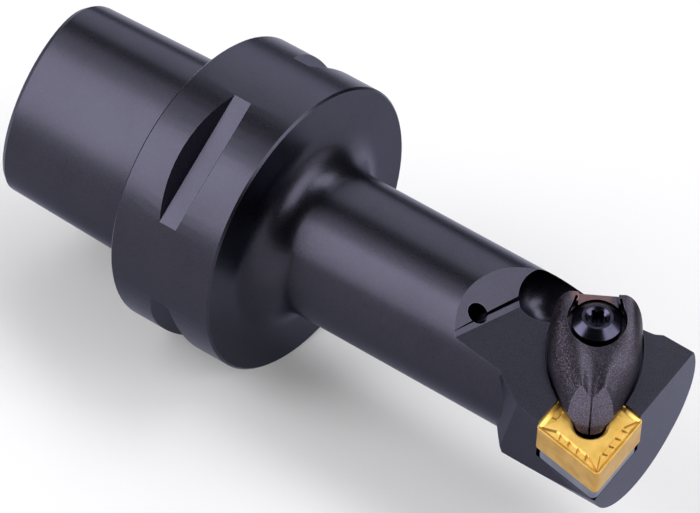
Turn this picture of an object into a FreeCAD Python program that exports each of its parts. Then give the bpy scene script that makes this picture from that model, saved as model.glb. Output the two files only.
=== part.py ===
import FreeCAD, Part
import math
import os

from FreeCAD import Matrix, Placement, Vector

# Turning tool holder with a tapered polygon coupling, a round bar and a clamped cutting insert.
# All sizes are in millimetres and degrees.
# +X runs along the bar to the cutting end, +Z is up, the cutting corner is on the -Y side.
# The origin is the centre of the flange's contact face.

# The coupling: flange and tapered three-lobed shank
flange_d = 50.0
flange_w = 20.0
flange_edge = 0.35
shank_len = 30.0
shank_d = 35.0
shank_lobe = 1.12
shank_taper = 1.0 / 20.0
shank_edge = 1.0
shank_edge_drop = 0.7
lobe_points = 48

# Gripper slots in the flange
slot_count = 4
slot_x = 9.95
slot_w = 3.1
slot_depth = 2.84

# Bore from the back of the shank
mouth_d = 21.0
mouth_edge = 1.0
grip_d = 25.0
grip_start = 5.5
grip_w = 5.0
mouth_depth = 16.0
pilot_d = 17.0
pilot_depth = 22.0
draw_thread_d = 14.4
draw_thread_depth = 36.0
feed_d = 6.0
feed_depth = 42.0
drill_point = 59.0

# The bar and the head
bar_d = 25.0
bar_fillet = 6.0
head_d = 28.4
head_shift = 2.2
head_len = 22.8
shoulder_len = 1.8
ramp_back = 44.7
ramp_y = 1.87
ramp_z = 0.22

# The cutting corner and how the insert lies
reach = 90.0
offset = 17.0
front_rake = 6.0
side_rake = 15.0
insert_circle = 12.7
insert_point = 80.0
insert_thick = 4.76
corner_r = 0.8
insert_hole_d = 5.16
insert_hole_edge = 0.47
land = 0.22
groove_drop = 0.32
groove_out = 0.75
plateau_nose = 0.85
plateau_in = 2.0
plateau_waist = 0.24
plateau_slope = 0.45
rib_count = 4
rib_wide = 1.35
rib_narrow = 0.75
rib_reach = 1.05
rib_hook = 0.45
rib_end_drop = 0.12

# The shim under the insert and its screw
shim_thick = 3.18
shim_inset = 0.5
shim_edge = 0.5
shim_corner_r = 1.0
shim_screw_head_d = 6.6
shim_screw_head_h = 1.7
shim_head_gap = 0.15
shim_head_drop = 0.1
shim_screw_d = 3.9
shim_screw_gap = 0.55
shim_screw_len = 5.2
shim_hole_spare = 0.9

# Body faces round the insert
face_setback = 0.6
flank_setback = 0.72
deck_rise = 0.62
corner_relief_r = 1.1
step_rise = 0.57
wall_lean = 38.5
wall_turn = 26.0
wall_back = 21.55
step_turn = 30.7
step_back = 20.76
foot_groove_turn = 28.15
foot_groove_back = 21.63
foot_groove_depth = 0.9
foot_groove_lip = 0.1

# Heel slot behind the clamp
heel_slot_r = 4.85
heel_slot_end = (-3.7, 24.4)
heel_slot_turn = 13.5
heel_slot_rise = 7.0
heel_slot_drop = 0.4
heel_slot_tip = 0.3

# Coolant outlet
jet_d = 2.95
jet_back = 32.05
jet_side = 6.6
jet_up = 7.7

# The clamp, measured from the insert's hole, y towards the tail
clamp_turn = 9.7
clamp_len = 20.5
clamp_top = 6.4
clamp_sink = 0.7
clamp_gap = 0.4
clamp_floor_gap = 0.5
room_start = 1.5
sink_start = 11.0
facet_top = (1.7, 3.35, 5.0)
facet_tip_y = -0.75
facet_splay = 8.0
prong_gap = 0.38
prong_shift = 0.28
prong_depth = 1.4
split_w = 0.32
split_depth = 1.2
split_len = 6.5
head_gap = 0.8
head_pocket_floor = 4.0
rear_flat_drop = 0.55
rear_flat_w = 6.2
tongue_gap = 0.25
rear_groove_w = 0.45
rear_groove_stop = 0.6
rear_groove_floor = 4.8
rear_groove_turn = 14.0
heel_w = 8.0
heel_depth = 3.4
heel_thick = 2.4
heel_gap = 0.1

# The clamp screw and its spring
screw_y = 15.5
screw_head_d = 7.8
screw_head_rim = 1.7
screw_head_cone = 1.2
screw_face_d = 4.9
screw_neck_d = 4.9
screw_thread_d = 4.5
screw_neck_end = 0.4
thread_gap = 0.05
screw_len = 14.0
screw_hole_spare = 1.5
neck_gap = 0.3
socket_across = 3.27
socket_within = 2.36
socket_depth = 1.9
socket_lead_d = 4.0
socket_lead = 0.5
spring_wire = 0.6
spring_neck_gap = 0.1
spring_turns = 2.5
spring_stations = 10
spring_pocket_gap = 0.65
spring_web = 1.8
spring_seat_gap = 0.02

big = 150.0


def unit(v):
    return Vector(v).normalize()


def tilt_axes():
    """Axes of the insert's top face: x across, y from nose to back corner, z out of the face."""
    z = unit(Vector(math.tan(math.radians(front_rake)), -math.tan(math.radians(side_rake)), 1.0))
    plan = Vector(-1.0, 1.0, 0.0)
    y = unit(Vector(plan.x, plan.y, -(z.x * plan.x + z.y * plan.y) / z.z))
    return y.cross(z), y, z


def turned(axes, angle):
    """The same axes with y swung towards x by the angle."""
    x, y, z = axes
    c = math.cos(math.radians(angle))
    s = math.sin(math.radians(angle))
    return x * c - y * s, y * c + x * s, z


def frame(origin, axes):
    x, y, z = axes
    rows = (x.x, y.x, z.x, origin.x, x.y, y.y, z.y, origin.y, x.z, y.z, z.z, origin.z, 0.0, 0.0, 0.0, 1.0)
    return Matrix(*rows)


def put(shape, matrix):
    moved = shape.copy()
    moved.Placement = Placement(matrix).multiply(moved.Placement)
    return moved


def axes_along(z):
    """Any right-handed axes with the given z."""
    z = unit(z)
    side = Vector(0.0, 0.0, 1.0) if abs(z.z) < 0.9 else Vector(1.0, 0.0, 0.0)
    x = unit(side.cross(z))
    return x, z.cross(x), z


def beyond(point, normal):
    """Everything on the outer side of a plane."""
    block = Part.makeBox(2 * big, 2 * big, big, Vector(-big, -big, 0.0))
    return put(block, frame(point, axes_along(normal)))


def polygon(points):
    return Part.Face(Part.makePolygon(list(points) + [points[0]]))


def ring_curve(points):
    curve = Part.BSplineCurve()
    curve.interpolate(Points=points, PeriodicFlag=True)
    return Part.Wire(curve.toShape())


def turned_about_x(profile):
    """Solid of revolution from (x, radius) corners; a corner of four numbers ends an arc."""
    edges = []
    last = profile[0]
    for corner in profile[1:]:
        a = Vector(last[-2], last[-1], 0.0)
        b = Vector(corner[-2], corner[-1], 0.0)
        if len(corner) == 4:
            edges.append(Part.Arc(a, Vector(corner[0], corner[1], 0.0), b).toShape())
        else:
            edges.append(Part.makeLine(a, b))
        last = corner
    edges.append(Part.makeLine(Vector(last[-2], last[-1], 0.0), Vector(profile[0][0], profile[0][1], 0.0)))
    return Part.Face(Part.Wire(edges)).revolve(Vector(0, 0, 0), Vector(1, 0, 0), 360)


def turned_about_z(profile):
    """Solid of revolution from (radius, z) corners."""
    face = polygon([Vector(r, 0.0, z) for r, z in profile])
    return face.revolve(Vector(0, 0, 0), Vector(0, 0, 1), 360)


shoulder_x = reach - head_len
prong_r = insert_hole_d / 2.0 - prong_gap
head_pocket_d = screw_head_d + 2.0 * head_gap
spring_d = screw_neck_d + 2.0 * (spring_wire + spring_neck_gap)
spring_pocket_d = spring_d + 2.0 * spring_pocket_gap
seat_axes = tilt_axes()
nose_centre = Vector(reach - corner_r, corner_r - offset, 0.0)
half_point = math.radians(insert_point / 2.0)
half_long = insert_circle / 2.0 / math.sin(half_point)
half_wide = insert_circle / 2.0 / math.cos(half_point)
hole_centre = nose_centre + seat_axes[1] * (half_long - corner_r / math.sin(half_point))
seat = frame(hole_centre, seat_axes)
clamp_axes = turned(seat_axes, clamp_turn)
clamp_seat = frame(hole_centre, clamp_axes)
pocket_floor = -insert_thick - shim_thick
clamp_floor = -clamp_sink - clamp_floor_gap


def seat_point(x, y, z):
    return seat.multVec(Vector(x, y, z))


def lobed_ring(x, diameter):
    """Outline of the polygon shank: a curve of constant width with three lobes, one of them up."""
    points = []
    for i in range(lobe_points):
        a = 2.0 * math.pi * i / lobe_points
        u = diameter / 2.0 * math.cos(a) - 2.0 * shank_lobe * math.cos(2 * a) + shank_lobe * math.cos(4 * a)
        v = diameter / 2.0 * math.sin(a) + 2.0 * shank_lobe * math.sin(2 * a) + shank_lobe * math.sin(4 * a)
        turn = math.radians(30.0)
        y = u * math.cos(turn) - v * math.sin(turn)
        z = u * math.sin(turn) + v * math.cos(turn)
        points.append(Vector(x, y, z))
    return ring_curve(points)


def shank_width(x):
    return shank_d + x * shank_taper


def shank():
    taper_end = shank_edge - shank_len
    taper = Part.makeLoft([lobed_ring(1.0, shank_width(1.0)), lobed_ring(taper_end, shank_width(taper_end))],
                          True, True)
    edge = Part.makeLoft([lobed_ring(taper_end, shank_width(taper_end)),
                          lobed_ring(-shank_len, shank_width(taper_end) - 2 * shank_edge_drop)], True, True)
    return taper.fuse(edge)


def flange_and_bar():
    r = flange_d / 2.0
    b = bar_d / 2.0
    f = bar_fillet
    bend = f * (1.0 - math.sqrt(0.5))
    return turned_about_x([(0.0, 0.0), (0.0, r - flange_edge), (flange_edge, r),
                           (flange_w - flange_edge, r), (flange_w, r - flange_edge), (flange_w, b + f),
                           (flange_w + bend, b + bend, flange_w + f, b), (reach + 2.0, b),
                           (reach + 2.0, 0.0)])


def gripper_slots():
    floor = flange_d / 2.0 - slot_depth
    cuts = []
    for i in range(slot_count):
        corner = Vector(slot_x - slot_w / 2.0, -flange_d / 2.0, floor)
        block = Part.makeBox(slot_w, flange_d, slot_depth + 5.0, corner)
        block.rotate(Vector(0, 0, 0), Vector(1, 0, 0), 45.0 + 360.0 * i / slot_count)
        cuts.append(block)
    return cuts


def shank_bore():
    """The stepped bore for the draw bolt and gripping segments, with the coolant feed at its end."""
    back = -shank_len
    m = mouth_d / 2.0
    g = grip_d / 2.0
    p = pilot_d / 2.0
    t = draw_thread_d / 2.0
    c = feed_d / 2.0
    slope = g - m
    point = c / math.tan(math.radians(drill_point))
    step = t - c
    return turned_about_x([(back - 1.0, 0.0), (back - 1.0, m + mouth_edge + 1.0), (back, m + mouth_edge),
                           (back + mouth_edge, m), (back + grip_start, m), (back + grip_start + slope, g),
                           (back + grip_start + grip_w, g), (back + grip_start + grip_w, m),
                           (back + mouth_depth, m), (back + mouth_depth, p), (back + pilot_depth, p),
                           (back + pilot_depth + 1.0, t), (back + draw_thread_depth, t),
                           (back + draw_thread_depth + step * 0.6, c), (back + feed_depth, c),
                           (back + feed_depth + point, 0.0)])


def coolant_jet():
    """Inclined drilling from the end wall back to the feed bore."""
    start = Vector(reach - jet_back, -jet_side, jet_up)
    end = Vector(feed_depth - shank_len - 1.0, 0.0, 0.0)
    along = unit(start - end)
    return Part.makeCylinder(jet_d / 2.0, (start - end).Length + 6.0, end, along)


def edge_normal(axes, side):
    """Outward direction of the insert's side: -1 for the flank side, +1 for the front side."""
    x, y, z = axes
    return unit(x * (side * math.cos(half_point)) - y * math.sin(half_point))


def head():
    """Eccentric head: shouldered, ramped off the bar and relieved under the cutting edge."""
    bar_ring = Part.Wire(Part.makeCircle(bar_d / 2.0 - 0.1, Vector(shoulder_x, -0.2, 0.0), Vector(1, 0, 0)))
    start = shoulder_x + shoulder_len
    middle = Vector(start, -head_shift, 0.0)
    head_ring = Part.Wire(Part.makeCircle(head_d / 2.0, middle, Vector(1, 0, 0)))
    body = Part.makeCylinder(head_d / 2.0, reach + 2.0 - start, middle, Vector(1, 0, 0))
    body = body.fuse(Part.makeLoft([bar_ring, head_ring], True, True))
    ramp = beyond(Vector(reach - ramp_back, 0.0, 0.0), Vector(-1.0, -ramp_y, -ramp_z))
    flank = edge_normal(seat_axes, -1)
    flank_point = hole_centre + flank * (insert_circle / 2.0 - flank_setback)
    return body.cut([ramp, beyond(flank_point, flank)])


def wall_facing(turn):
    """Outward direction of a leaning wall that closes the deck towards the tail."""
    t = math.radians(turn)
    e = math.radians(wall_lean)
    return Vector(math.cos(e) * math.cos(t), -math.cos(e) * math.sin(t), math.sin(e))


def step_cut(rise, back, turn):
    """Everything above a deck and ahead of a leaning wall."""
    above = beyond(seat_point(0.0, 0.0, rise), seat_axes[2])
    return above.cut(beyond(Vector(reach - back, 0.0, 0.0), wall_facing(turn) * -1.0))


def foot_line(rise, back, turn):
    """Where a leaning wall meets a deck: a point on the line, and the way out of the wall along the deck."""
    up = seat_axes[2]
    facing = wall_facing(turn)
    start = Vector(reach - back, 0.0, 0.0)
    climb = up - facing * up.dot(facing)
    point = start + climb * ((rise - (start - hole_centre).dot(up)) / climb.dot(up))
    return point, unit(facing - up * facing.dot(up))


def foot_groove():
    """Upright groove along the foot of the end wall, behind the low step in front of it."""
    up = seat_axes[2]
    top = deck_rise + step_rise
    back_point, back_way = foot_line(top, foot_groove_back, foot_groove_turn)
    front_point, front_way = foot_line(top, step_back, step_turn)
    ahead = beyond(back_point, back_way)
    slot = ahead.cut(beyond(front_point - front_way * foot_groove_lip, front_way))
    slot = slot.common(beyond(seat_point(0.0, 0.0, top - foot_groove_depth), up))
    return slot.fuse(ahead.common(beyond(seat_point(0.0, 0.0, top), up)))


def insert_pocket():
    """The open corner seat: two walls that meet behind the insert, and a relieved corner."""
    back = Vector(0.0, half_long, 0.0)
    left = back + (Vector(-half_wide, 0.0, 0.0) - back) * 5.0
    right = back + (Vector(half_wide, 0.0, 0.0) - back) * 5.0
    floor = Vector(0.0, 0.0, pocket_floor)
    outline = polygon([back + floor, left + floor, right + floor])
    room = outline.extrude(Vector(0.0, 0.0, big / 4.0))
    relief = Part.makeCylinder(corner_relief_r, big / 4.0, back + floor - Vector(0.0, 0.3, 0.0))
    return put(room.fuse(relief), seat)


def heel_slot(grow):
    """Round-nosed slot that the clamp's heel drops into."""
    x, y, z = turned(seat_axes, heel_slot_turn)
    start = seat_point(heel_slot_end[0], heel_slot_end[1], deck_rise - heel_slot_drop)
    r = heel_slot_r + grow
    rise = math.radians(heel_slot_rise)
    along = x * math.cos(rise) + z * math.sin(rise)
    t = heel_slot_tip
    nose = -math.sqrt(r * r - t * t)
    run = turned_about_x([(nose, 0.0), (nose, t), (-r * math.sqrt(0.5), r * math.sqrt(0.5), 0.0, r),
                          (40.0, r), (40.0, 0.0)])
    return put(run, frame(start, (along, y, along.cross(y))))


# Half widths of the clamp seen from above, as (y, half width)
clamp_plan = ((-0.85, 1.0), (-0.2, 2.0), (0.5, 2.95), (1.9, 4.1), (4.0, 5.0), (6.1, 5.85), (8.9, 6.75),
              (12.0, 7.2), (15.8, 7.2), (18.2, 6.7), (19.8, 5.6), (20.5, 4.2))


def plan_face(grow, low_y):
    """Plan outline of the clamp, grown all round, as a face at z = 0."""
    right = []
    for y, w in clamp_plan:
        if y >= low_y:
            right.append(Vector(w + grow, y + (grow if y > clamp_len - 0.1 else 0.0), 0.0))
    side = Part.BSplineCurve()
    side.interpolate(right)
    left = [Vector(-p.x, p.y, 0.0) for p in right]
    other = Part.BSplineCurve()
    other.interpolate(left)
    edges = [side.toShape(), Part.makeLine(right[-1], left[-1]), other.toShape(),
             Part.makeLine(left[0], right[0])]
    return Part.Face(Part.Wire(Part.__sortEdges__(edges)))


def clamp_room():
    """Recess in the deck that the clamp's underside drops into."""
    face = plan_face(clamp_gap, room_start)
    face.translate(Vector(0.0, 0.0, clamp_floor))
    return put(face.extrude(Vector(0.0, 0.0, big / 4.0)), clamp_seat)


def clamp_screw_hole():
    depth = screw_len - head_pocket_floor + screw_hole_spare
    r = screw_thread_d / 2.0 + thread_gap
    hole = Part.makeCylinder(r, depth, Vector(0.0, screw_y, -depth))
    lead = Part.makeCone(r, r + 0.5, 0.5, Vector(0.0, screw_y, clamp_floor - 0.5))
    return put(hole.fuse(lead), clamp_seat)


def shim_screw_hole():
    depth = shim_screw_len + shim_hole_spare
    hole = Part.makeCylinder(shim_screw_d / 2.0 + thread_gap, depth, Vector(0.0, 0.0, pocket_floor - depth))
    return put(hole, seat)


def tool_body():
    body = shank().fuse([flange_and_bar(), head()]).removeSplitter()
    front = edge_normal(seat_axes, 1)
    front_point = hole_centre + front * (insert_circle / 2.0 - face_setback)
    body = body.cut(gripper_slots())
    body = body.cut([shank_bore(), coolant_jet()])
    body = body.cut(beyond(front_point, front))
    body = body.cut(step_cut(deck_rise + step_rise, wall_back, wall_turn))
    body = body.cut(step_cut(deck_rise, step_back, step_turn))
    body = body.cut(foot_groove())
    body = body.cut(heel_slot(0.0))
    body = body.cut(clamp_room())
    body = body.cut(insert_pocket())
    body = body.cut([clamp_screw_hole(), shim_screw_hole()])
    return body.removeSplitter()


def rhomb_wire(inset, radius, z):
    """Rounded rhombic outline, moved in from the insert's sides."""
    k = 1.0 - 2.0 * inset / insert_circle
    corners = [Vector(0, -half_long * k, z), Vector(half_wide * k, 0, z),
               Vector(0, half_long * k, z), Vector(-half_wide * k, 0, z)]
    edges = []
    starts = []
    ends = []
    for i in range(4):
        before = unit(corners[i - 1] - corners[i])
        after = unit(corners[(i + 1) % 4] - corners[i])
        half = before.getAngle(after) / 2.0
        run = radius / math.tan(half)
        middle = unit(before + after)
        centre = corners[i] + middle * (radius / math.sin(half))
        starts.append(corners[i] + before * run)
        ends.append(corners[i] + after * run)
        edges.append(Part.Arc(starts[i], centre - middle * radius, ends[i]).toShape())
    for i in range(4):
        edges.append(Part.makeLine(ends[i], starts[(i + 1) % 4]))
    return Part.Wire(Part.__sortEdges__(edges))


def frustum(inset_a, z_a, inset_b, z_b, radius):
    a = rhomb_wire(inset_a, max(radius - inset_a, 0.15), z_a)
    b = rhomb_wire(inset_b, max(radius - inset_b, 0.15), z_b)
    return Part.makeLoft([a, b], True, True)


def insert_corner(i):
    spots = ((0.0, -half_long), (half_wide, 0.0), (0.0, half_long), (-half_wide, 0.0))
    return Vector(spots[i % 4][0], spots[i % 4][1], 0.0)


def plateau_ring(grow, z):
    """Outline of the raised middle: it reaches into each corner and draws back along the sides."""
    points = []
    for i in range(4):
        a = insert_corner(i)
        b = insert_corner(i + 1)
        inward = unit((a + b) * -0.5)
        points.append(a * (1.0 - 2.0 * (plateau_nose - grow) / insert_circle))
        for share in (plateau_waist, 1.0 - plateau_waist):
            points.append(a + (b - a) * share + inward * (plateau_in - grow))
    ring = [p + Vector(0.0, 0.0, z) for p in points]
    return Part.makePolygon(ring + [ring[0]])


def chip_groove():
    """Groove that runs all round inside the cutting edge of the top face."""
    rise = groove_drop / (groove_out - land)
    outer = frustum(land - 0.2 / rise * 0.5, 0.1, groove_out, -groove_drop, corner_r)
    foot = groove_drop + 0.1
    plateau = Part.makeLoft([plateau_ring(plateau_slope, -foot), plateau_ring(-0.1, 0.2)], True, True)
    return outer.cut(plateau)


def edge_ribs():
    """Small hooked chip-breaking ribs that run out from the raised middle into the groove."""
    ribs = []
    for i in range(4):
        a = insert_corner(i)
        b = insert_corner(i + 1)
        along = unit(b - a)
        inward = unit((a + b) * -0.5)
        first = plateau_waist + 0.05
        for j in range(rib_count):
            share = first + (1.0 - 2.0 * first) * j / (rib_count - 1.0)
            root = a + (b - a) * share + inward * (plateau_in + 0.1)
            tip = root - inward * (rib_reach + 0.1) + along * rib_hook
            ends = []
            for spot, wide, drop in ((root, rib_wide, 0.02), (tip, rib_narrow, rib_end_drop)):
                base = spot + Vector(0, 0, -2 * groove_drop)
                ends.append(Part.makePolygon([base - along * wide * 0.5, base + along * wide * 0.5,
                                              spot + Vector(0, 0, -drop), base - along * wide * 0.5]))
            ribs.append(Part.makeLoft(ends, True, True))
    return ribs


def insert():
    body = Part.Face(rhomb_wire(0.0, corner_r, -insert_thick)).extrude(Vector(0, 0, insert_thick))
    groove = chip_groove().cut(edge_ribs())
    under = groove.mirror(Vector(0, 0, -insert_thick / 2.0), Vector(0, 0, 1))
    r = insert_hole_d / 2.0
    e = insert_hole_edge
    t = insert_thick
    hole = turned_about_z([(0.0, 1.0), (r + e + 1.0, 1.0), (r, -e), (r, e - t), (r + e + 1.0, -t - 1.0),
                           (0.0, -t - 1.0)])
    return put(body.cut([groove, under, hole]), seat)


def shim():
    top = -insert_thick
    edge = shim_edge
    low = frustum(shim_inset + edge * 0.6, pocket_floor, shim_inset, pocket_floor + edge,
                  shim_corner_r + shim_inset)
    wall = rhomb_wire(shim_inset, shim_corner_r, pocket_floor + edge)
    body = low.fuse(Part.Face(wall).extrude(Vector(0, 0, shim_thick - edge)))
    r = shim_screw_head_d / 2.0 + shim_head_gap
    s = shim_screw_d / 2.0 + shim_screw_gap
    h = shim_screw_head_h
    hole = turned_about_z([(0.0, top + 1.0), (r, top + 1.0), (r, top - 0.3), (s, top - h),
                           (s, pocket_floor - 1.0), (0.0, pocket_floor - 1.0)])
    return put(body.cut(hole).removeSplitter(), seat)


def socket(depth):
    """Six-lobed driver recess, open upwards from z = -depth."""
    radii = ((socket_across + socket_within) / 4.0, socket_across / 2.0,
             (socket_across + socket_within) / 4.0, socket_within / 2.0)
    points = []
    for i in range(25):
        a = math.radians(15.0 * (i - 1))
        points.append(Vector(radii[i % 4] * math.cos(a), radii[i % 4] * math.sin(a), -depth))
    arcs = [Part.Arc(points[i], points[i + 1], points[i + 2]).toShape() for i in range(0, 24, 2)]
    return Part.Face(Part.Wire(arcs)).extrude(Vector(0, 0, depth + 1.0))


def shim_screw():
    top = -insert_thick - shim_head_drop
    r = shim_screw_head_d / 2.0
    s = shim_screw_d / 2.0
    h = shim_screw_head_h
    tip = pocket_floor - shim_screw_len
    body = turned_about_z([(0.0, top), (r, top), (r, top - 0.25), (s + 0.35, top - h + 0.15),
                           (s, top - h - 0.1), (s, tip + 0.5), (s - 0.5, tip), (0.0, tip)])
    drive = socket(1.4)
    drive.translate(Vector(0, 0, top))
    return put(body.cut(drive), seat)


# Cross-sections of the clamp along y, as (y, half width, top, spacing of the ridges from the middle, depth of
# the valley between the ridges, height where the flank starts to round over, roundness of the flank)
clamp_ribs = ((-1.2, 2.6, 3.2, 0.9, 0.9, 0.3, 0.45), (1.2, 3.9, 4.25, 1.4, 1.05, 0.3, 0.25),
              (3.6, 5.0, 5.0, 1.7, 0.9, 0.5, 0.5), (6.4, 5.95, 5.2, 2.0, 0.5, 1.0, 0.8),
              (9.2, 6.85, 5.3, 2.5, 0.3, 1.6, 0.95), (12.0, 7.2, 5.7, 3.4, 0.2, 2.2, 1.0),
              (15.5, 7.2, 6.3, 4.6, 0.2, 2.8, 1.0), (18.2, 7.2, clamp_top, 4.6, 0.2, 3.0, 1.0),
              (20.5, 7.2, clamp_top, 4.6, 0.2, 3.0, 1.0))
flank_points = 5


def rib_wire(y, w, top, ridge, valley, start, full):
    """One cross-section: flat underside, flanks rounded over into two ridges, and a valley between them."""
    half = [(w, 0.0), (w, start * 0.5)]
    for i in range(flank_points):
        t = i / float(flank_points)
        a = math.radians(90.0 * t)
        across = (1.0 - t) * (1.0 - full) + math.cos(a) * full
        up = t * (1.0 - full) + math.sin(a) * full
        half.append((ridge + (w - ridge) * across, start + (top - start) * up))
    half += [(ridge, top), (ridge * 0.6, top - 0.5 * valley), (ridge * 0.25, top - 0.93 * valley)]
    points = [Vector(x, y, z) for x, z in half]
    points += [Vector(-x, y, z) for x, z in reversed(half)]
    curve = Part.BSplineCurve()
    curve.interpolate(points)
    return Part.Wire([curve.toShape(), Part.makeLine(points[-1], points[0])])


def clamp_blank():
    forged = Part.makeLoft([rib_wire(*rib) for rib in clamp_ribs], True, False)
    outline = plan_face(0.0, -5.0).extrude(Vector(0, 0, clamp_top + 2.0))
    return forged.common(outline)


def facet_cuts():
    """The two sloping front facets of the nose, one on each prong."""
    tip_z = -prong_depth
    rise = facet_top[2] - tip_z
    run = facet_top[1] - facet_tip_y
    cuts = []
    for side in (-1, 1):
        normal = Vector(0.0, -rise, run)
        swing = math.radians(facet_splay) * side
        normal = Vector(math.sin(swing) * rise, -math.cos(swing) * rise, run)
        cuts.append(beyond(Vector(side * facet_top[0], facet_tip_y, tip_z), normal))
    return cuts


def clamp_prong():
    """Round-ended peg that drops into the insert's hole, shaped to clear the edge of the hole."""
    flare = prong_r + insert_hole_edge - 0.07
    peg = turned_about_z([(0.0, 0.6), (flare + 0.15, 0.6), (flare, 0.0), (prong_r + 0.08, -insert_hole_edge),
                          (prong_r - 0.05, -prong_depth * 0.6), (prong_r - 0.3, -prong_depth * 0.85),
                          (prong_r - 0.75, -prong_depth), (0.0, -prong_depth)])
    peg.translate(Vector(0.0, prong_shift, 0.0))
    return peg


def clamp():
    body = clamp_blank()
    sink = plan_face(-0.15, sink_start)
    sink.translate(Vector(0, 0, -clamp_sink))
    body = body.fuse([sink.extrude(Vector(0, 0, clamp_sink + 0.5)), clamp_prong()])
    half_facets = []
    for cut, side in zip(facet_cuts(), (-1, 1)):
        keep = Part.makeBox(30.0, 60.0, 60.0, Vector(0.0 if side > 0 else -30.0, -30.0, -30.0))
        half_facets.append(cut.common(keep))
    body = body.cut(half_facets)
    heel_corner = Vector(-heel_w / 2.0, clamp_len - heel_thick, -heel_depth)
    heel = Part.makeBox(heel_w, heel_thick, heel_depth, heel_corner)
    limit = put(heel_slot(-heel_gap), clamp_seat.inverse())
    body = body.fuse(heel.common(limit))
    split = Part.makeBox(split_w, split_depth, split_len + 2.0, Vector(-split_w / 2.0, 0.0, -2.0))
    lean = math.degrees(math.atan2(facet_top[1] - facet_tip_y, facet_top[2] + prong_depth))
    split.rotate(Vector(0, 0, 0), Vector(1, 0, 0), -lean)
    bulge = facet_top[0] * math.tan(math.radians(facet_splay))
    split.translate(Vector(0.0, facet_tip_y - bulge - 0.1, -prong_depth))
    body = body.cut(split)
    pocket = Part.makeCylinder(head_pocket_d / 2.0, 10.0, Vector(0, screw_y, head_pocket_floor))
    tongue = Part.makeBox(rear_flat_w, 12.0, 20.0, Vector(-rear_flat_w / 2.0, screw_y, -5.0))
    close = Part.makeCylinder(screw_head_d / 2.0 + tongue_gap, 10.0, Vector(0, screw_y, head_pocket_floor))
    pocket = pocket.cut(tongue).fuse(close)
    flat_corner = Vector(-rear_flat_w / 2.0, screw_y, clamp_top - rear_flat_drop)
    flat = Part.makeBox(rear_flat_w, 12.0, 5.0, flat_corner)
    neck = Part.makeCylinder(screw_neck_d / 2.0 + neck_gap, 20.0, Vector(0, screw_y, -5.0))
    nest_depth = head_pocket_floor - spring_web + 5.0
    nest = Part.makeCylinder(spring_pocket_d / 2.0, nest_depth, Vector(0, screw_y, -5.0))
    cuts = [pocket, flat, neck, nest]
    for side in (-1, 1):
        run = clamp_len - rear_groove_stop - screw_y - 1.0
        groove = Part.makeBox(rear_groove_w, run, 5.0, Vector(-rear_groove_w / 2.0, 0.0, rear_groove_floor))
        groove.rotate(Vector(0, 0, 0), Vector(0, 0, 1), side * rear_groove_turn)
        groove.translate(Vector(side * (head_pocket_d / 2.0 - 0.5), screw_y + 1.0, 0.0))
        cuts.append(groove)
    body = body.cut(cuts)
    return put(body.removeSplitter(), clamp_seat)


def clamp_screw():
    seat_z = head_pocket_floor
    r = screw_head_d / 2.0
    rim = seat_z + screw_head_rim
    face = rim + screw_head_cone
    f = screw_face_d / 2.0
    n = screw_neck_d / 2.0
    t = screw_thread_d / 2.0
    tip = seat_z - screw_len
    neck_end = clamp_floor + screw_neck_end
    body = turned_about_z([(0.0, face), (f, face), (r, rim), (r, seat_z), (n, seat_z), (n, neck_end),
                           (t, clamp_floor), (t, tip + 0.6), (t - 0.6, tip), (0.0, tip)])
    drive = socket(socket_depth)
    drive.translate(Vector(0, 0, face))
    lead_foot = Vector(0, 0, face - socket_lead)
    lead = Part.makeCone(socket_within / 2.0, socket_lead_d / 2.0, socket_lead, lead_foot)
    body = body.cut([drive, lead])
    body.translate(Vector(0, screw_y, 0))
    return put(body, clamp_seat)


def clamp_spring():
    low = clamp_floor + spring_wire / 2.0 + spring_seat_gap
    high = head_pocket_floor - spring_web - spring_wire / 2.0 - spring_seat_gap
    radius = (spring_d - spring_wire) / 2.0
    steps = int(spring_turns * spring_stations)
    rings = []
    for i in range(steps + 1):
        a = 2.0 * math.pi * i / spring_stations
        spot = Vector(radius * math.cos(a), radius * math.sin(a), (high - low) * i / steps)
        along = Vector(-math.sin(a), math.cos(a), (high - low) / (2.0 * math.pi * radius * spring_turns))
        rings.append(Part.Wire(Part.makeCircle(spring_wire / 2.0, spot, along)))
    coil = Part.makeLoft(rings, True, False)
    coil.translate(Vector(0, screw_y, low))
    return put(coil, clamp_seat)


nodes = {"tool_body": tool_body, "insert": insert, "shim": shim, "shim_screw": shim_screw, "clamp": clamp,
         "clamp_screw": clamp_screw, "clamp_spring": clamp_spring}

os.makedirs("parts", exist_ok=True)
for name, make in nodes.items():
    shape = make()
    shape.exportStep("parts/" + name + ".step")
    print(name, shape.isValid(), len(shape.Solids), round(shape.Volume, 1))
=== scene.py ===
import math

import bmesh
import bpy
from mathutils import Matrix, Vector


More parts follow.
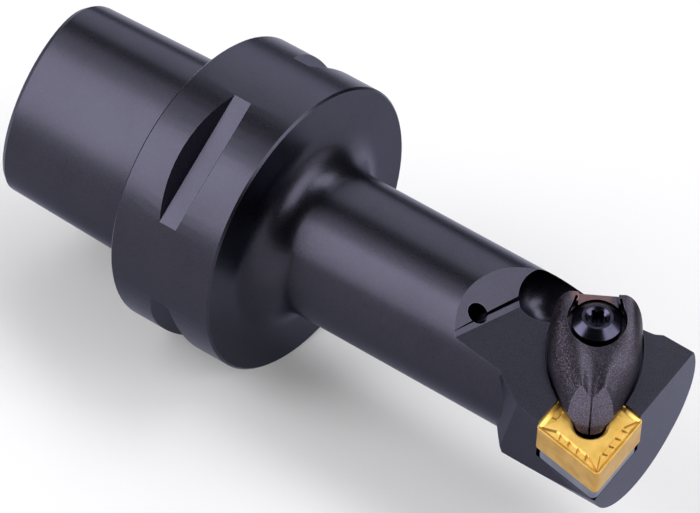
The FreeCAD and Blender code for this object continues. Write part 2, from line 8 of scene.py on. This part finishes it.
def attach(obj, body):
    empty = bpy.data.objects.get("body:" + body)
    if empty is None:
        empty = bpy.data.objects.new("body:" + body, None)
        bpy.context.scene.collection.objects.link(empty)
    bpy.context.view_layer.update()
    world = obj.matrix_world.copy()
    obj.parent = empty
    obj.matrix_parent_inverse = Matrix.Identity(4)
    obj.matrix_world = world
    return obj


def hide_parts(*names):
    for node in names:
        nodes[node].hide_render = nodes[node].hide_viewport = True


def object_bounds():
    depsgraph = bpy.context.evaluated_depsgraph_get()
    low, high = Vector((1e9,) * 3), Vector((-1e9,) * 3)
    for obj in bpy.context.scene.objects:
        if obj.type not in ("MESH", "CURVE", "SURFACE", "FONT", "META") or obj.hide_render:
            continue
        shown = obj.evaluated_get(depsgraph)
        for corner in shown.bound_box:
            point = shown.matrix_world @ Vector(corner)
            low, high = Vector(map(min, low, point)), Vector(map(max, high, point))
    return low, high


# Looks for the turning tool holder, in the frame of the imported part: +X runs along the bar to the cutting end
# and +Z is up. Lengths are in metres, or in mm where a comment says so
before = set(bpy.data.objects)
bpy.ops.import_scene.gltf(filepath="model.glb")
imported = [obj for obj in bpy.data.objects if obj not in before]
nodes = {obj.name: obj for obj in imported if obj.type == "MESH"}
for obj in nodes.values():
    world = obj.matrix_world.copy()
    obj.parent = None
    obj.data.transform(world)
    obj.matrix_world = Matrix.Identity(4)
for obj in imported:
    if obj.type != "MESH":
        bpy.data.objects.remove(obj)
cad_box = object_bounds()
part_middle = (Vector(cad_box[0]) + Vector(cad_box[1])) * 0.5

MM = 0.001

# Camera, at the photograph's viewing angle
eye = Vector((408.4, -574.6, 500.5)) * MM
look = Vector((-0.44566, 0.67473, -0.58833))
camera_roll = math.radians(7.65)
lens_mm = 275.5
sensor_mm = 36.0
nearest_seen = 0.01
farthest_seen = 50.0

# Studio: how far the lamps stand from the part, the tints of light, and the floor
lamp_distance = 1.2
rosy_white = (1.0, 0.98, 1.0)
bluish_white = (0.97, 0.98, 1.0)
sky_colour = (0.93, 0.95, 1.0, 1.0)
sky_strength = 0.05
floor_grey = 0.7
floor_glow = 0.18
floor_gap = 0.2 * MM
floor_half = 20.0

# Gripper slots of the flange, in mm: the distance from the axis to their floor and to the end of the cut,
# the ends of the floor along the bar, and half of the slot's length
slot_count = 4
first_slot = math.radians(45.0)
slot_floor = 22.14
slot_top = 27.0
slot_back = 8.27
slot_front = 11.51
slot_reach = 14.0
slot_flank = math.radians(30.0)

# Corners of the CAD mesh that are closer than this are one corner
same_corner = 0.0001 * MM

# Two faces that meet at a larger angle have a crisp edge between them
sharp_angle = math.radians(22.0)

# Direction out of the insert's top face
front_rake = math.radians(6.0)
side_rake = math.radians(15.0)
seat_up = Vector((math.tan(front_rake), -math.tan(side_rake), 1.0)).normalized()

# Directions out of the clamp's faces: the middle one of the two facets on its nose, which gets a painted
# highlight, and its left flank, which gets painted shade.
# The brownish tongue behind the screw is given by its place and its reach, in mm
painted_highlight_facets = (0.53, -0.8, 0.29)
painted_shade_flank = (-0.25, -0.72, 0.65)
clamp_tongue = (71.8, 3.5, 13.2)
tongue_reach = 3.6

# Rays that the edge finder of a material sends from each point
edge_rays = 6


def make_camera():
    level = look.cross(Vector((0.0, 0.0, 1.0))).normalized()
    rise = level.cross(look).normalized()
    right = level * math.cos(camera_roll) + rise * math.sin(camera_roll)
    up = rise * math.cos(camera_roll) - level * math.sin(camera_roll)
    turn = Matrix((right, up, -look)).transposed().to_4x4()
    data = bpy.data.cameras.new("camera")
    data.lens = lens_mm
    data.sensor_width = sensor_mm
    data.sensor_fit = "HORIZONTAL"
    data.clip_start = nearest_seen
    data.clip_end = farthest_seen
    camera = bpy.data.objects.new("camera", data)
    camera.matrix_world = Matrix.Translation(eye) @ turn
    bpy.context.scene.collection.objects.link(camera)
    bpy.context.scene.camera = camera


def softbox(name, azimuth, elevation, width, height, radiance, colour):
    """Rectangular lamp that faces the middle of the part, given by the brightness of its face."""
    a = math.radians(azimuth)
    e = math.radians(elevation)
    away = Vector((math.cos(e) * math.cos(a), math.cos(e) * math.sin(a), math.sin(e)))
    data = bpy.data.lights.new(name, "AREA")
    data.shape = "RECTANGLE"
    data.size = width
    data.size_y = height
    data.energy = radiance * math.pi * width * height
    data.color = colour
    lamp = bpy.data.objects.new(name, data)
    lamp.location = part_middle + away * lamp_distance
    lamp.rotation_euler = (-away).to_track_quat("-Z", "Y").to_euler()
    bpy.context.scene.collection.objects.link(lamp)


def make_lamps():
    """Each lamp has its azimuth and elevation in degrees, its width and height, and its brightness."""
    softbox("left_box", -128.0, 26.0, 0.76, 1.02, 4.7, rosy_white)
    softbox("left_high_box", -142.0, 54.0, 0.85, 0.42, 1.9, rosy_white)
    softbox("front_box", 8.0, 40.0, 1.15, 0.55, 3.8, rosy_white)
    softbox("end_box", 38.0, 15.0, 0.6, 0.42, 1.3, rosy_white)
    softbox("high_box", 62.0, 63.0, 0.85, 0.45, 4.6, bluish_white)
    softbox("back_box", 131.0, 42.0, 0.7, 1.15, 1.8, bluish_white)


def make_world():
    world = bpy.data.worlds.new("studio")
    bpy.context.scene.world = world
    world.use_nodes = True
    sky = world.node_tree.nodes["Background"]
    sky.inputs["Color"].default_value = sky_colour
    sky.inputs["Strength"].default_value = sky_strength


def rgb(red, green, blue):
    return (red, green, blue, 1.0)


def grey(level, tint=(1.0, 1.0, 1.0)):
    return rgb(level * tint[0], level * tint[1], level * tint[2])


class Shader:
    """Short ways to build one material's nodes."""

    def __init__(self, name):
        self.material = bpy.data.materials.new(name)
        self.material.use_nodes = True
        self.tree = self.material.node_tree
        self.surface = self.tree.nodes["Principled BSDF"]
        self.coords = self.tree.nodes.new("ShaderNodeTexCoord")

    def set(self, **values):
        for key, value in values.items():
            self.surface.inputs[key.replace("_", " ")].default_value = value

    def link(self, **values):
        for key, value in values.items():
            self.tree.links.new(value, self.surface.inputs[key.replace("_", " ")])

    def node(self, kind, inputs, **settings):
        made = self.tree.nodes.new(kind)
        for key, value in settings.items():
            setattr(made, key, value)
        for key, value in inputs.items():
            if isinstance(value, bpy.types.NodeSocket):
                self.tree.links.new(value, made.inputs[key])
            else:
                made.inputs[key].default_value = value
        return made

    def noise(self, size, detail, rough):
        inputs = {"Vector": self.coords.outputs["Object"], "Scale": 1.0 / size, "Detail": detail,
                  "Roughness": rough}
        return self.node("ShaderNodeTexNoise", inputs).outputs["Fac"]

    def shades(self, value, dark, light, low=0.3, high=0.7):
        """The dark colour up to the low value, the light one from the high value on, and a blend between."""
        made = self.node("ShaderNodeValToRGB", {"Fac": value})
        first, last = made.color_ramp.elements
        first.position = low
        first.color = dark
        last.position = high
        last.color = light
        return made.outputs["Color"]

    def span(self, value, low, high, to_low, to_high):
        inputs = {"Value": value, "From Min": low, "From Max": high, "To Min": to_low, "To Max": to_high}
        return self.node("ShaderNodeMapRange", inputs).outputs["Result"]

    def mix(self, factor, a, b):
        made = self.node("ShaderNodeMix", {}, data_type="RGBA")
        for socket, value in (("Factor_Float", factor), ("A_Color", a), ("B_Color", b)):
            target = next(s for s in made.inputs if s.identifier == socket)
            if isinstance(value, bpy.types.NodeSocket):
                self.tree.links.new(value, target)
            else:
                target.default_value = value
        return next(s for s in made.outputs if s.identifier == "Result_Color")

    def math(self, operation, a, b):
        return self.node("ShaderNodeMath", {0: a, 1: b}, operation=operation).outputs[0]

    def dot(self, a, b):
        return self.node("ShaderNodeVectorMath", {0: a, 1: b}, operation="DOT_PRODUCT").outputs["Value"]

    def edge(self, radius, low, high):
        """0 on open faces and 1 on sharp edges."""
        soft = self.node("ShaderNodeBevel", {"Radius": radius}, samples=edge_rays)
        flat = self.node("ShaderNodeNewGeometry", {})
        agree = self.dot(soft.outputs["Normal"], flat.outputs["Normal"])
        return self.span(self.math("SUBTRACT", 1.0, agree), low, high, 0.0, 1.0)

    def facing(self, direction, low, high):
        """1 where the surface faces the direction and 0 elsewhere."""
        return self.span(self.dot(self.coords.outputs["Normal"], tuple(direction)), low, high, 0.0, 1.0)

    def near(self, place, radius):
        """1 around a place in the frame and 0 from the radius on, both in mm."""
        inputs = {0: self.coords.outputs["Object"], 1: tuple(c * MM for c in place)}
        gap = self.node("ShaderNodeVectorMath", inputs, operation="DISTANCE")
        return self.span(gap.outputs["Value"], 0.8 * radius * MM, radius * MM, 1.0, 0.0)

    def finish(self, tone, grain, smooth, rough, depth, strength, metallic=1.0):
        """Links the colour, and a roughness and a fine relief that both follow the grain."""
        self.link(Base_Color=tone, Roughness=self.span(grain, 0.3, 0.7, smooth, rough))
        relief = self.node("ShaderNodeBump", {"Height": grain, "Distance": depth, "Strength": strength})
        self.link(Normal=relief.outputs["Normal"])
        self.set(Metallic=metallic)
        return self.material


def black_steel():
    """Satin black-oxide finish with a fine blasted grain, and edges lighter partly as bared metal and partly as
    a painted highlight.
    """
    s = Shader("black_steel")
    violet = (1.0, 0.98, 1.34)
    grain = s.noise(size=0.18 * MM, detail=2.0, rough=0.6)
    patch = s.noise(size=9.0 * MM, detail=4.0, rough=0.55)
    tone = s.shades(patch, grey(0.032, violet), grey(0.038, violet))
    tone = s.mix(s.span(grain, 0.35, 0.65, 0.0, 0.5), tone, grey(0.056, violet))
    # Lighter sharp edges: partly bared metal, partly a painted highlight
    wear_and_highlight = s.math("MULTIPLY", s.edge(0.18 * MM, 0.02, 0.35), 0.55)
    tone = s.mix(wear_and_highlight, tone, grey(0.14, violet))
    s.set(Specular_Tint=rgb(0.8, 0.81, 0.95))
    return s.finish(tone, grain, smooth=0.25, rough=0.36, depth=0.01 * MM, strength=0.45)


def coated_carbide():
    """Gold coating, browner on the sides."""
    s = Shader("coated_carbide")
    grain = s.noise(size=0.12 * MM, detail=3.0, rough=0.6)
    patch = s.noise(size=2.2 * MM, detail=3.0, rough=0.5)
    top = s.shades(patch, rgb(0.7, 0.42, 0.08), rgb(0.86, 0.56, 0.15))
    side = s.shades(patch, rgb(0.54, 0.31, 0.08), rgb(0.68, 0.42, 0.13))
    tone = s.mix(s.facing(seat_up, 0.5, 0.8), side, top)
    return s.finish(tone, grain, smooth=0.3, rough=0.46, depth=0.01 * MM, strength=0.5, metallic=0.85)


def ground_carbide():
    """Uncoated grey-blue carbide of the shim."""
    s = Shader("ground_carbide")
    grain = s.noise(size=0.1 * MM, detail=3.0, rough=0.6)
    patch = s.noise(size=3.0 * MM, detail=3.0, rough=0.5)
    tone = s.shades(patch, rgb(0.17, 0.19, 0.26), rgb(0.24, 0.26, 0.33))
    return s.finish(tone, grain, smooth=0.34, rough=0.48, depth=0.008 * MM, strength=0.5, metallic=0.9)


def forged_steel():
    """Dark clamp with a coarse sparkling grain, painted shade on its left flank, nose facets lighter as a
    painted highlight, edges lighter partly from wear and partly as a painted highlight, and a brownish tongue.
    """
    s = Shader("forged_steel")
    grain = s.noise(size=0.2 * MM, detail=2.0, rough=0.7)
    patch = s.noise(size=3.0 * MM, detail=4.0, rough=0.6)
    tone = s.shades(patch, rgb(0.038, 0.033, 0.046), rgb(0.056, 0.05, 0.068))
    # Painted shade: the clamp's left flank is darkened in its colour
    tone = s.mix(s.facing(painted_shade_flank, 0.85, 0.98), tone, rgb(0.018, 0.015, 0.022))
    tone = s.mix(s.span(grain, 0.5, 0.72, 0.0, 0.7), tone, rgb(0.19, 0.17, 0.21))
    # Painted highlight: the nose facets are lightened in their colour
    facet = s.shades(grain, rgb(0.11, 0.098, 0.14), rgb(0.3, 0.27, 0.37), low=0.35, high=0.65)
    tone = s.mix(s.facing(painted_highlight_facets, 0.94, 0.98), tone, facet)
    bare = s.math("MULTIPLY", s.near(clamp_tongue, tongue_reach), s.facing(seat_up, 0.93, 0.98))
    tone = s.mix(s.math("MULTIPLY", bare, 0.8), tone, rgb(0.17, 0.1, 0.1))
    # Lighter sharp edges: partly bared metal, partly a painted highlight
    wear_and_highlight = s.math("MULTIPLY", s.edge(0.14 * MM, 0.03, 0.35), 0.6)
    tone = s.mix(wear_and_highlight, tone, rgb(0.34, 0.32, 0.36))
    return s.finish(tone, grain, smooth=0.36, rough=0.5, depth=0.03 * MM, strength=0.7)


def polished_black():
    """Smooth black screws with bluish reflections."""
    s = Shader("polished_black")
    grain = s.noise(size=0.15 * MM, detail=3.0, rough=0.6)
    patch = s.noise(size=2.0 * MM, detail=3.0, rough=0.5)
    tone = s.shades(patch, rgb(0.036, 0.036, 0.056), rgb(0.052, 0.05, 0.08))
    return s.finish(tone, grain, smooth=0.16, rough=0.26, depth=0.006 * MM, strength=0.5)


def spring_steel():
    """Bright drawn wire."""
    s = Shader("spring_steel")
    grain = s.noise(size=0.1 * MM, detail=3.0, rough=0.6)
    tone = s.shades(grain, rgb(0.42, 0.42, 0.43), rgb(0.55, 0.55, 0.56))
    return s.finish(tone, grain, smooth=0.25, rough=0.38, depth=0.006 * MM, strength=0.5)


def dress(name, material):
    data = nodes[name].data
    data.materials.clear()
    data.materials.append(material)


def slot_bar(turn, verts, faces):
    """Adds a bar with two slanted flanks that fills one gripper slot, at that turn about the tool's axis."""
    out = Vector((0.0, -math.sin(turn), math.cos(turn)))
    along = Vector((0.0, math.cos(turn), math.sin(turn)))
    spread = (slot_top - slot_floor) * math.tan(slot_flank)
    profile = [(slot_back, slot_floor), (slot_front, slot_floor),
               (slot_front + spread, slot_top), (slot_back - spread, slot_top)]
    sides = len(profile)
    first = len(verts)
    for end in (-slot_reach, slot_reach):
        for x, height in profile:
            verts.append((Vector((x, 0.0, 0.0)) + out * height + along * end) * MM)
    near_end = list(range(first, first + sides))
    far_end = list(range(first + sides, first + 2 * sides))
    faces.append(near_end)
    faces.append(far_end[::-1])
    for k in range(sides):
        after = (k + 1) % sides
        faces.append([near_end[k], far_end[k], far_end[after], near_end[after]])


def make_slot_bars():
    verts = []
    faces = []
    for i in range(slot_count):
        slot_bar(first_slot + math.radians(360.0 * i / slot_count), verts, faces)
    mesh = bpy.data.meshes.new("slot_bars")
    mesh.from_pydata(verts, [], faces)
    return bpy.data.objects.new("slot_bars", mesh)


def copy_of(node, name):
    """A new object with the CAD node's shape, in which neighbouring faces share their corners."""
    source = node.data
    mesh = bpy.data.meshes.new(name)
    mesh.from_pydata([v.co for v in source.vertices], [], [list(p.vertices) for p in source.polygons])
    shape = bmesh.new()
    shape.from_mesh(mesh)
    bmesh.ops.remove_doubles(shape, verts=shape.verts, dist=same_corner)
    shape.to_mesh(mesh)
    shape.free()
    return bpy.data.objects.new(name, mesh)


def make_body():
    """The steel body with its gripper slots opened out to slanted flanks, in place of the CAD node."""
    bars = make_slot_bars()
    body = copy_of(nodes["tool_body"], "steel_body")
    for each in (bars, body):
        bpy.context.scene.collection.objects.link(each)
    cut = body.modifiers.new("slots", "BOOLEAN")
    cut.operation = "DIFFERENCE"
    cut.solver = "EXACT"
    cut.object = bars
    carved = body.evaluated_get(bpy.context.evaluated_depsgraph_get())
    body.data = bpy.data.meshes.new_from_object(carved)
    body.modifiers.clear()
    bpy.data.objects.remove(bars)
    for face in body.data.polygons:
        face.use_smooth = True
    body.data.set_sharp_from_angle(angle=sharp_angle)
    body.data.materials.clear()
    body.data.materials.append(black_steel())
    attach(body, "holder")
    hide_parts("tool_body")


def make_floor():
    """Pale floor that shows white to the camera and in reflections, and keeps the part's shadow."""
    low = cad_box[0][2] - floor_gap
    half = floor_half
    corners = [(-half, -half, low), (half, -half, low), (half, half, low), (-half, half, low)]
    mesh = bpy.data.meshes.new("floor")
    mesh.from_pydata(corners, [], [(0, 1, 2, 3)])
    floor = bpy.data.objects.new("floor", mesh)
    bpy.context.scene.collection.objects.link(floor)
    s = Shader("pale_floor")
    s.set(Base_Color=grey(floor_grey), Roughness=0.9, Specular_IOR_Level=0.1)
    rays = s.node("ShaderNodeLightPath", {})
    seen = s.math("MAXIMUM", rays.outputs["Is Camera Ray"], rays.outputs["Is Glossy Ray"])
    seen = s.math("MAXIMUM", seen, rays.outputs["Is Transmission Ray"])
    s.set(Emission_Color=grey(1.0))
    s.link(Emission_Strength=s.math("MULTIPLY", seen, floor_glow))
    mesh.materials.append(s.material)


make_camera()
make_lamps()
make_world()
make_floor()

make_body()
dress("insert", coated_carbide())
dress("shim", ground_carbide())
dress("clamp", forged_steel())
dress("clamp_screw", polished_black())
dress("shim_screw", polished_black())
dress("clamp_spring", spring_steel())

bpy.context.scene.view_settings.view_transform = "Standard"
